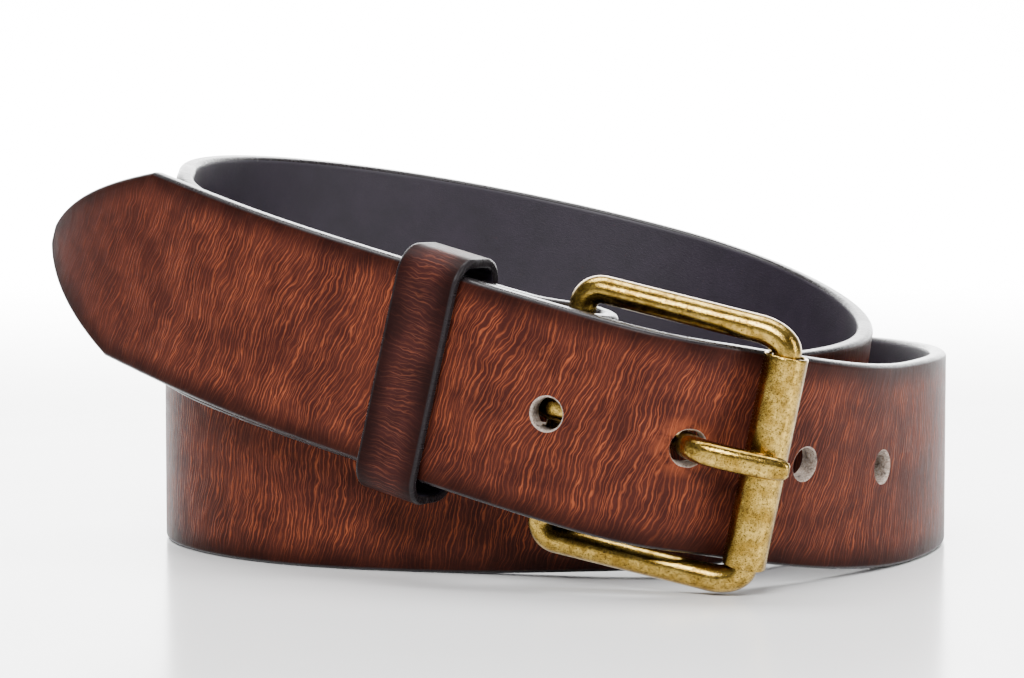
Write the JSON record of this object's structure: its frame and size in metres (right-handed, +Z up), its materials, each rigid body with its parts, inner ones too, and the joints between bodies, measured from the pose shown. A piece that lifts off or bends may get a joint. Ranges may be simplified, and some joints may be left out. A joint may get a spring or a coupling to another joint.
{
  "type": "leather belt",
  "caption": "Coiled full-grain leather dress belt, buckled through a punched hole, with a wire frame roller buckle, a single prong and a sliding leather keeper.",
  "frame": {"origin": "middle of the coiled belt's bounding box, on the surface it stands on", "axes": "+Z up, +X along the coil's length towards the buckle's front side, +Y away from the buckle; the buckle faces -Y"},
  "size_m": [0.1799, 0.1647, 0.0766],
  "materials": {
    "strap_leather": "aniline pull-up leather with painted edges, satin",
    "keeper_leather": "aniline leather, satin",
    "antique_brass": "antique brass, satin with dark patina"
  },
  "bodies": {
    "strap": {"strap": "strap_leather", "rivet_1_post": "antique_brass", "rivet_1_cap": "antique_brass", "rivet_2_post": "antique_brass", "rivet_2_cap": "antique_brass"},
    "keeper": {"keeper": "keeper_leather", "keeper_staple": "antique_brass"},
    "buckle_frame": {"buckle_frame": "antique_brass"},
    "roller": {"roller": "antique_brass"},
    "prong": {"prong": "antique_brass"}
  },
  "joints": [
    {"name": "buckle_swing", "type": "hinge", "parent": "strap", "child": "buckle_frame", "pos_m": [0.01153, -0.06258, 0.03194], "axis": [-0.1852, 0.0979, -0.9778], "range_deg": [0, 0.6]},
    {"name": "prong_swing", "type": "hinge", "parent": "buckle_frame", "child": "prong", "pos_m": [0.01153, -0.06258, 0.03194], "axis": [-0.1852, 0.0979, -0.9778], "range_deg": [0, 1.2]},
    {"name": "roller_spin", "type": "hinge", "parent": "buckle_frame", "child": "roller", "pos_m": [0.0467, -0.07402, 0.02413], "axis": [0.1852, -0.0979, 0.9778], "continuous": true},
    {"name": "keeper_slide", "type": "slide", "parent": "strap", "child": "keeper", "axis": [0.8389, -0.4912, -0.2344], "range_m": [-0.0028, 0.0028]}
  ]
}
